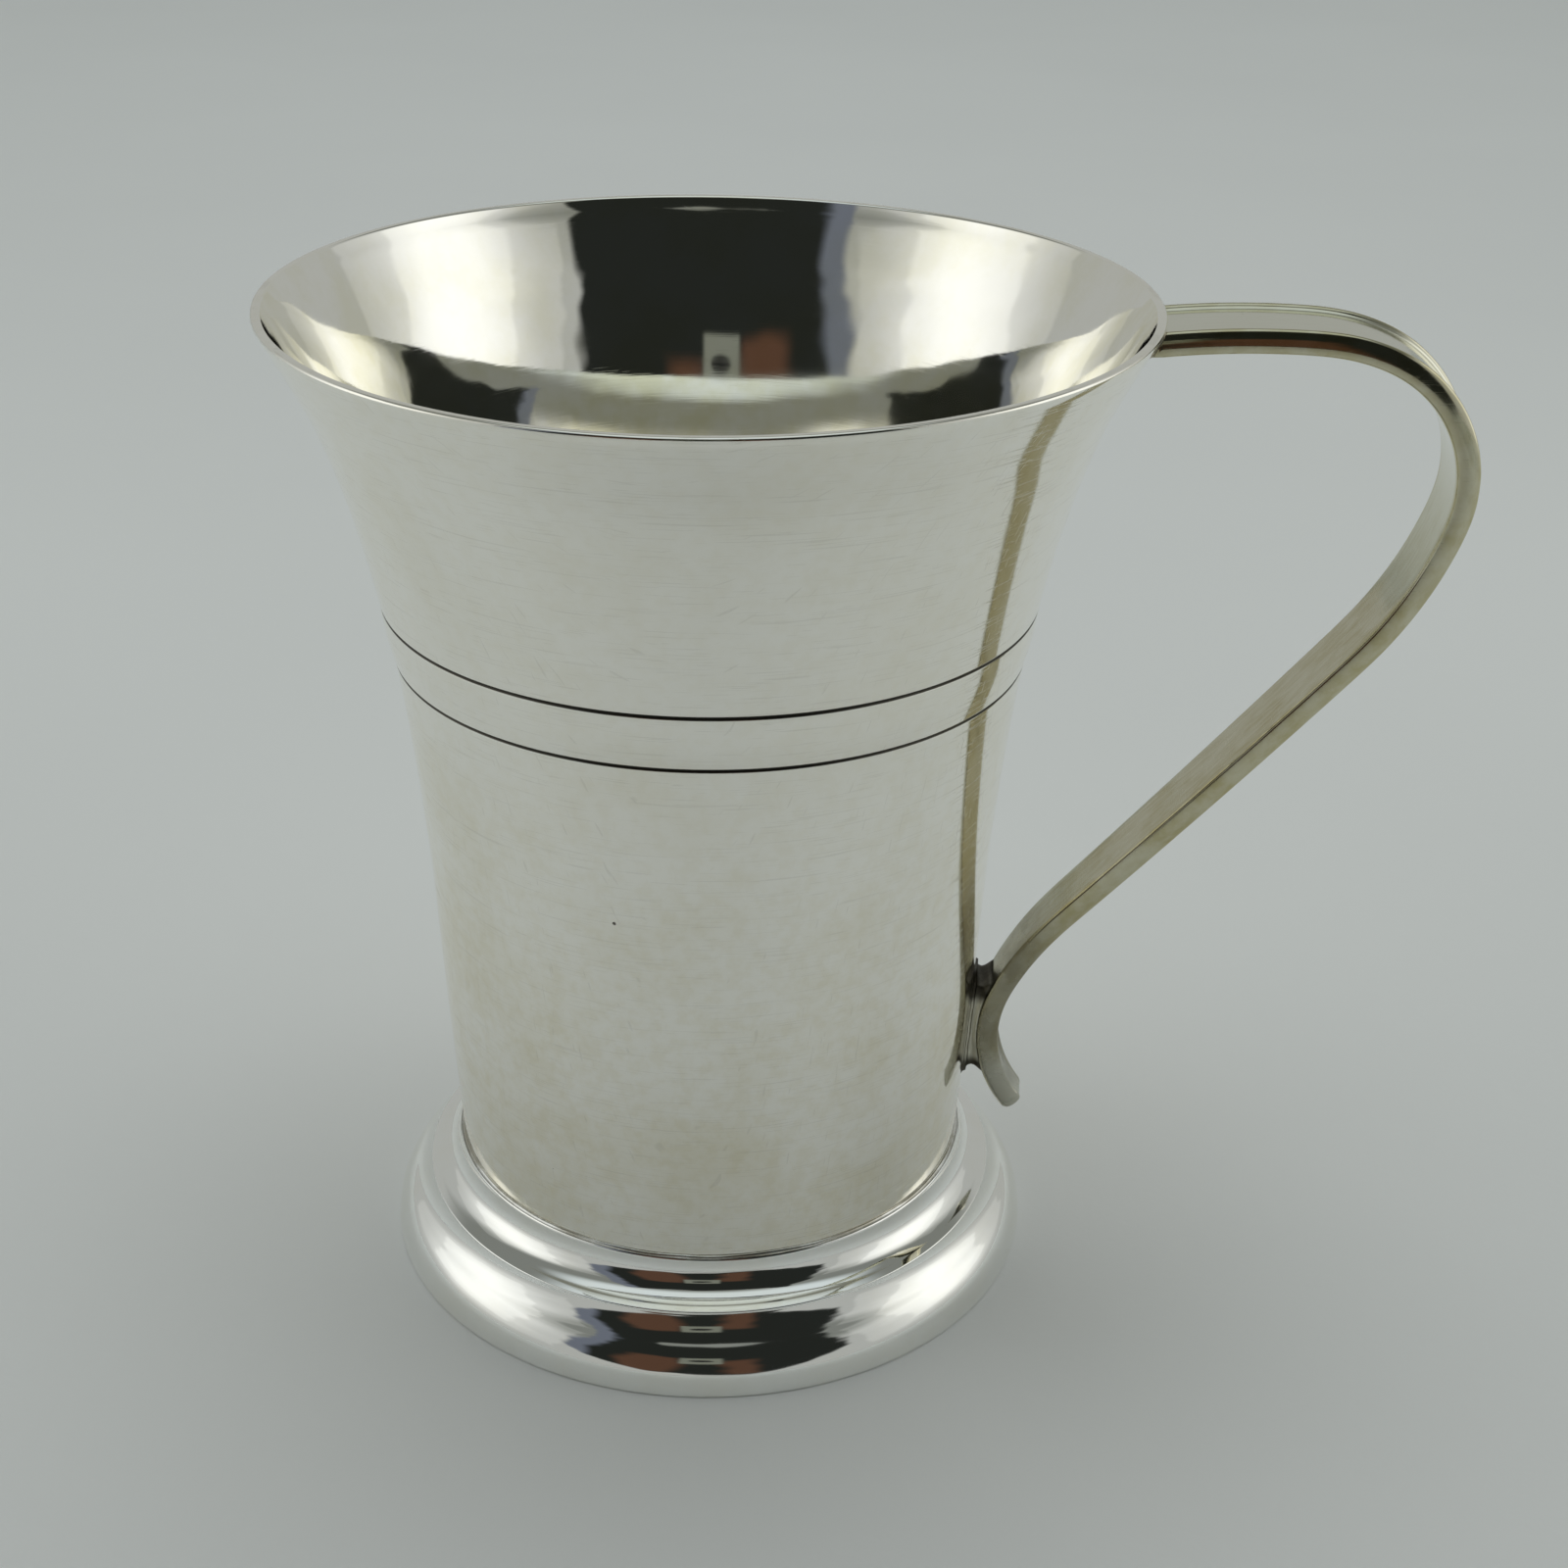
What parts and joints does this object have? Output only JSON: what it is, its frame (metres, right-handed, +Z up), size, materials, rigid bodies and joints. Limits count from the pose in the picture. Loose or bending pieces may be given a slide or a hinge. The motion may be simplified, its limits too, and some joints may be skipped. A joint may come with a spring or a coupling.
{
  "type": "cream jug",
  "caption": "Small silver cream jug in mug form: flared mouth, two incised lines, moulded foot and a reeded strap handle with a turned-out tail.",
  "frame": {"origin": "on the cup's axis, in the plane of the standing edge of the foot", "axes": "+Z up along the cup's axis, +X from the axis towards the handle, +Y to complete a right-handed frame"},
  "size_m": [0.1005, 0.0744, 0.09],
  "materials": {
    "body_silver": "polished silver with fine horizontal polishing scratches and a soft bloom",
    "foot_silver": "bright polished silver, a little darker in the hollows",
    "handle_silver": "polished silver with a faint warm tarnish",
    "hard_solder": "tarnished silver solder, satin"
  },
  "bodies": {
    "root": {"cup_body": "body_silver", "foot_moulding": "foot_silver", "foot_wire": "foot_silver", "handle_strap": "handle_silver", "lower_handle_pad": "handle_silver", "solder_foot_seam": "hard_solder", "solder_handle_top": "hard_solder", "solder_handle_bottom": "hard_solder"}
  },
  "joints": []
}
